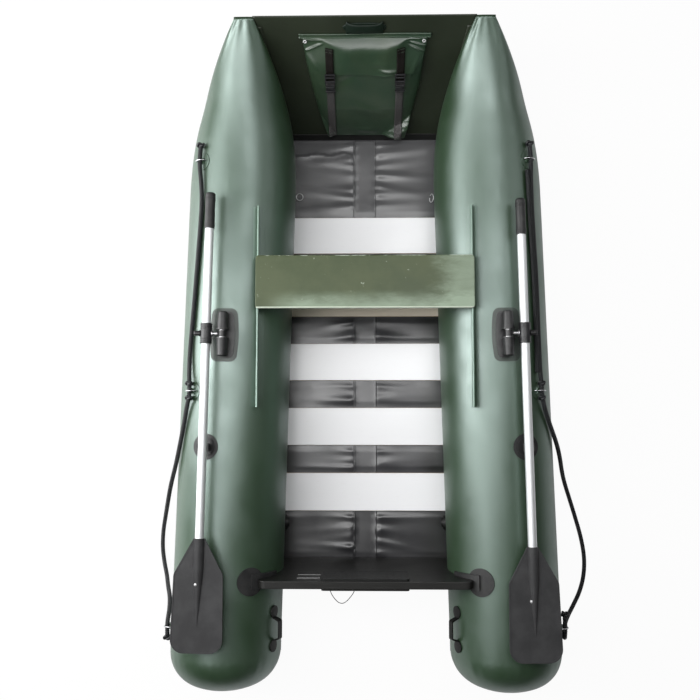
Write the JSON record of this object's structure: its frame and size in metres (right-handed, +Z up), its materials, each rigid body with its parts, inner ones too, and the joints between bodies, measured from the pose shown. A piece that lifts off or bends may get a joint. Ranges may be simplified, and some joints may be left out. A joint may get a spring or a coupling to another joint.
{
  "type": "inflatable rowing boat with transom and oars",
  "caption": "Green inflatable rowing boat with a raked flat bow, black transom, white slatted floor, sliding seat and oars stowed on the side tubes.",
  "frame": {"origin": "middle of the hull's footprint, on the floor that the side tubes stand on", "axes": "+Y towards the bow, +X to starboard, +Z up"},
  "size_m": [1.5403, 2.205, 0.482],
  "materials": {
    "hull_pvc": "coated dark green boat fabric with a soft satin sheen",
    "panel_pvc": "very dark green coated fabric, satin",
    "bottom_pvc": "black coated fabric, wrinkled, semi-gloss",
    "bag_pvc": "glossy dark green coated fabric",
    "webbing": "woven black webbing",
    "rope": "black braided rope",
    "green_rubber": "moulded dark green rubber",
    "black_rubber": "moulded black rubber, matte",
    "black_plastic": "moulded black plastic",
    "blade_plastic": "dark grey moulded plastic",
    "transom_ply": "black painted plywood",
    "slat_white": "white laminated board",
    "seat_green": "olive painted board, scuffed",
    "oar_aluminium": "drawn tube, satin",
    "swivel_steel": "plated steel",
    "ring_steel": "stainless wire, polished",
    "plate_metal": "blank anodised plate"
  },
  "bodies": {
    "hull": {"port_tube": "hull_pvc", "starboard_tube": "hull_pvc", "bottom_sheet": "bottom_pvc", "bow_panel": "panel_pvc", "bow_bag": "bag_pvc", "bow_bag_straps": "webbing", "bow_handle": "green_rubber", "slat_1": "slat_white", "slat_2": "slat_white", "slat_3": "slat_white", "slat_4": "slat_white", "slat_5": "slat_white", "port_seat_rail": "hull_pvc", "starboard_seat_rail": "hull_pvc", "port_rowlock_base": "black_plastic", "starboard_rowlock_base": "black_plastic", "port_oar_keeper": "black_plastic", "starboard_oar_keeper": "black_plastic", "transom": "transom_ply", "transom_clamp_pads": "black_plastic", "transom_plate": "plate_metal", "port_transom_holder": "black_rubber", "starboard_transom_holder": "black_rubber", "lifeline_patches": "hull_pvc", "lifeline_rings": "ring_steel", "floor_ring_patches": "bottom_pvc", "floor_rings": "ring_steel", "stern_handles": "black_rubber", "air_valves": "black_plastic", "port_lifeline": "rope", "starboard_lifeline": "rope", "starboard_lifeline_tail": "rope", "port_lifeline_knots": "rope", "starboard_lifeline_knots": "rope"},
    "seat": {"seat_board": "seat_green", "seat_runners": "black_plastic"},
    "port_oar": {"port_rowlock_swivel": "swivel_steel", "port_oar_shaft": "oar_aluminium", "port_oar_grip": "black_rubber", "port_oar_collar": "black_plastic", "port_oar_blade": "blade_plastic"},
    "starboard_oar": {"starboard_rowlock_swivel": "swivel_steel", "starboard_oar_shaft": "oar_aluminium", "starboard_oar_grip": "black_rubber", "starboard_oar_collar": "black_plastic", "starboard_oar_blade": "blade_plastic"}
  },
  "joints": [
    {"name": "seat_slide", "type": "slide", "parent": "hull", "child": "seat", "axis": [0, 1, 0], "range_m": [-0.312, 0.16]},
    {"name": "port_rowlock_lift", "type": "hinge", "parent": "hull", "child": "port_oar", "pos_m": [-0.461, 0.0735, 0.406], "axis": [0.0175, 0.9998, 0], "range_deg": [0, 90]},
    {"name": "starboard_rowlock_lift", "type": "hinge", "parent": "hull", "child": "starboard_oar", "pos_m": [0.461, 0.0735, 0.406], "axis": [0.0175, -0.9998, 0], "range_deg": [0, 90]}
  ]
}
